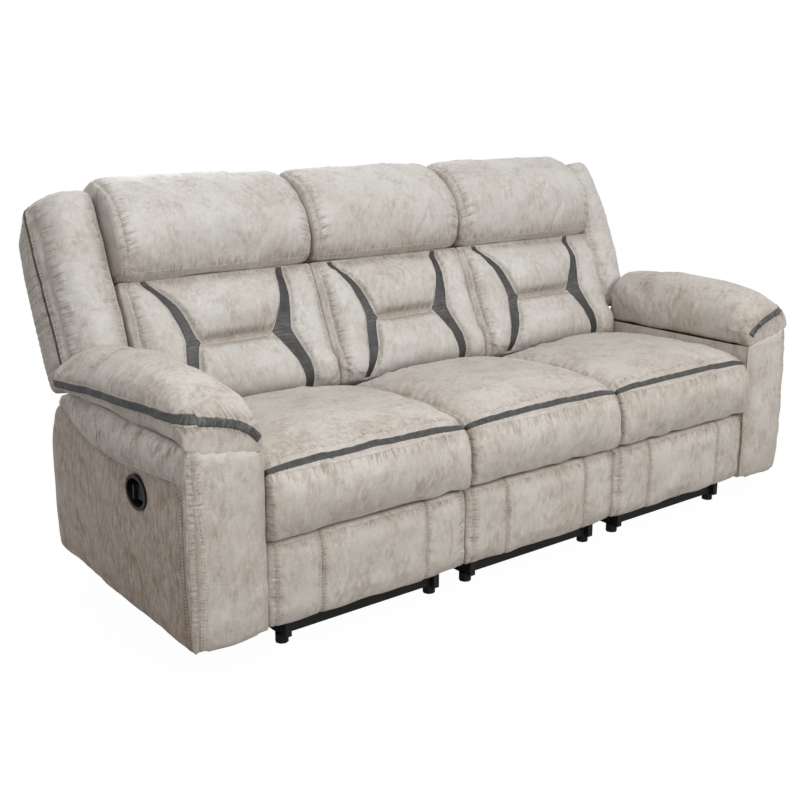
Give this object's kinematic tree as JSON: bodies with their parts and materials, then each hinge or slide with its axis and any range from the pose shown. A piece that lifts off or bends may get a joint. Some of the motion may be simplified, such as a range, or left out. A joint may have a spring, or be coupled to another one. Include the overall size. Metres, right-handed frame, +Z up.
{
  "type": "reclining sofa",
  "caption": "Padded sofa whose end seats recline, with footrests on folding linkages, a winged back, pillow arms and side release levers.",
  "frame": {"origin": "on the floor under the middle of the sofa's box", "axes": "+X along the sofa, to the right seen from the front; -Y faces the sitter's front; +Z up"},
  "size_m": [2.2522, 1.04, 1.085],
  "materials": {
    "upholstery": "matte distressed suede-like cloth",
    "side_upholstery": "matte distressed suede-like cloth, streaked darker",
    "accent": "satin",
    "thread": "matte",
    "wood": "raw plywood and pine",
    "steel": "black semi-gloss paint",
    "plastic": "moulded, satin"
  },
  "bodies": {
    "base": {"middle_seat_cushion": "upholstery", "middle_seat_box": "wood", "middle_front_panel": "upholstery", "middle_back_frame": "wood", "middle_back_cushion": "upholstery", "middle_headrest": "upholstery", "middle_back_cover": "upholstery", "middle_left_base_rail": "steel", "middle_right_base_rail": "steel", "rear_stretcher": "wood", "left_arm_frame": "wood", "left_arm_side_panel": "side_upholstery", "left_arm_front_panel": "upholstery", "left_arm_pad": "upholstery", "left_handle_housing": "plastic", "left_release_cable": "plastic", "left_outer_base_rail": "steel", "left_inner_base_rail": "steel", "right_arm_frame": "wood", "right_arm_side_panel": "side_upholstery", "right_arm_front_panel": "upholstery", "right_arm_pad": "upholstery", "right_handle_housing": "plastic", "right_release_cable": "plastic", "right_outer_base_rail": "steel", "right_inner_base_rail": "steel"},
    "left_seat": {"left_seat_cushion": "upholstery", "left_seat_box": "wood", "left_outer_seat_plate": "steel", "left_inner_seat_plate": "steel"},
    "left_back": {"left_back_frame": "wood", "left_back_cushion": "upholstery", "left_headrest": "upholstery", "left_back_cover": "upholstery", "left_wing": "upholstery"},
    "left_lift": {"left_lift_links": "steel"},
    "left_guide": {"left_guide_links": "steel"},
    "left_extend": {"left_outer_extend_link": "steel", "left_inner_extend_link": "steel"},
    "left_tilt": {"left_tilt_link": "steel"},
    "left_footrest": {"left_footrest_frame": "wood", "left_footrest_pad": "upholstery"},
    "left_lever": {"left_release_lever": "plastic"},
    "right_seat": {"right_seat_cushion": "upholstery", "right_seat_box": "wood", "right_outer_seat_plate": "steel", "right_inner_seat_plate": "steel"},
    "right_back": {"right_back_frame": "wood", "right_back_cushion": "upholstery", "right_headrest": "upholstery", "right_back_cover": "upholstery", "right_wing": "upholstery"},
    "right_lift": {"right_lift_links": "steel"},
    "right_guide": {"right_guide_links": "steel"},
    "right_extend": {"right_outer_extend_link": "steel", "right_inner_extend_link": "steel"},
    "right_tilt": {"right_tilt_link": "steel"},
    "right_footrest": {"right_footrest_frame": "wood", "right_footrest_pad": "upholstery"},
    "right_lever": {"right_release_lever": "plastic"}
  },
  "joints": [
    {"name": "left_seat_slide", "type": "slide", "parent": "base", "child": "left_seat", "axis": [0, -1, 0], "range_m": [0, 0.045]},
    {"name": "left_back_recline", "type": "hinge", "parent": "left_seat", "child": "left_back", "pos_m": [-0.6, 0.17829, 0.33284], "axis": [-1, 0, 0], "range_deg": [0, 25.1]},
    {"name": "left_footrest_lift", "type": "hinge", "parent": "left_seat", "child": "left_lift", "pos_m": [-0.6, -0.325, 0.265], "axis": [-1, 0, 0], "range_deg": [0, 120]},
    {"name": "left_guide_turn", "type": "hinge", "parent": "left_seat", "child": "left_guide", "pos_m": [-0.6, -0.27, 0.245], "axis": [-1, 0, 0], "range_deg": [0, 120.1]},
    {"name": "left_footrest_extend", "type": "hinge", "parent": "left_lift", "child": "left_extend", "pos_m": [-0.6, -0.19001, 0.10413], "axis": [-1, 0, 0], "range_deg": [-120.1, 0]},
    {"name": "left_footrest_tilt", "type": "hinge", "parent": "left_extend", "child": "left_footrest", "pos_m": [-0.6, -0.40303, 0.25495], "axis": [-1, 0, 0], "range_deg": [0, 92.1]},
    {"name": "left_tilt_link_turn", "type": "hinge", "parent": "left_lift", "child": "left_tilt", "pos_m": [-0.804, -0.17734, 0.13132], "axis": [-1, 0, 0], "range_deg": [-123.4, 0]},
    {"name": "left_lever_pull", "type": "hinge", "parent": "base", "child": "left_lever", "pos_m": [-1.109, -0.28, 0.401], "axis": [0, 0, 1], "range_deg": [0, 35], "stiffness_Nm_per_rad": 0.4, "springref_deg": -11.46},
    {"name": "right_seat_slide", "type": "slide", "parent": "base", "child": "right_seat", "axis": [0, -1, 0], "range_m": [0, 0.045]},
    {"name": "right_back_recline", "type": "hinge", "parent": "right_seat", "child": "right_back", "pos_m": [0.6, 0.17829, 0.33284], "axis": [-1, 0, 0], "range_deg": [0, 25.1]},
    {"name": "right_footrest_lift", "type": "hinge", "parent": "right_seat", "child": "right_lift", "pos_m": [0.6, -0.325, 0.265], "axis": [-1, 0, 0], "range_deg": [0, 120]},
    {"name": "right_guide_turn", "type": "hinge", "parent": "right_seat", "child": "right_guide", "pos_m": [0.6, -0.27, 0.245], "axis": [-1, 0, 0], "range_deg": [0, 120.1]},
    {"name": "right_footrest_extend", "type": "hinge", "parent": "right_lift", "child": "right_extend", "pos_m": [0.6, -0.19001, 0.10413], "axis": [-1, 0, 0], "range_deg": [-120.1, 0]},
    {"name": "right_footrest_tilt", "type": "hinge", "parent": "right_extend", "child": "right_footrest", "pos_m": [0.6, -0.40303, 0.25495], "axis": [-1, 0, 0], "range_deg": [0, 92.1]},
    {"name": "right_tilt_link_turn", "type": "hinge", "parent": "right_lift", "child": "right_tilt", "pos_m": [0.804, -0.17734, 0.13132], "axis": [-1, 0, 0], "range_deg": [-123.4, 0]},
    {"name": "right_lever_pull", "type": "hinge", "parent": "base", "child": "right_lever", "pos_m": [1.109, -0.28, 0.401], "axis": [0, 0, -1], "range_deg": [0, 35], "stiffness_Nm_per_rad": 0.4, "springref_deg": -11.46}
  ],
  "couplings": [
    {"joint": "left_back_recline", "follows": "left_seat_slide", "rad_per_m": 9.6963},
    {"joint": "left_guide_turn", "follows": "left_footrest_lift", "ratio": 1},
    {"joint": "left_footrest_extend", "follows": "left_footrest_lift", "ratio": -1},
    {"joint": "left_footrest_tilt", "follows": "left_footrest_lift", "ratio": 0.76667},
    {"joint": "left_tilt_link_turn", "follows": "left_footrest_lift", "ratio": -1.0267},
    {"joint": "right_back_recline", "follows": "right_seat_slide", "rad_per_m": 9.6963},
    {"joint": "right_guide_turn", "follows": "right_footrest_lift", "ratio": 1},
    {"joint": "right_footrest_extend", "follows": "right_footrest_lift", "ratio": -1},
    {"joint": "right_footrest_tilt", "follows": "right_footrest_lift", "ratio": 0.76667},
    {"joint": "right_tilt_link_turn", "follows": "right_footrest_lift", "ratio": -1.0267}
  ]
}
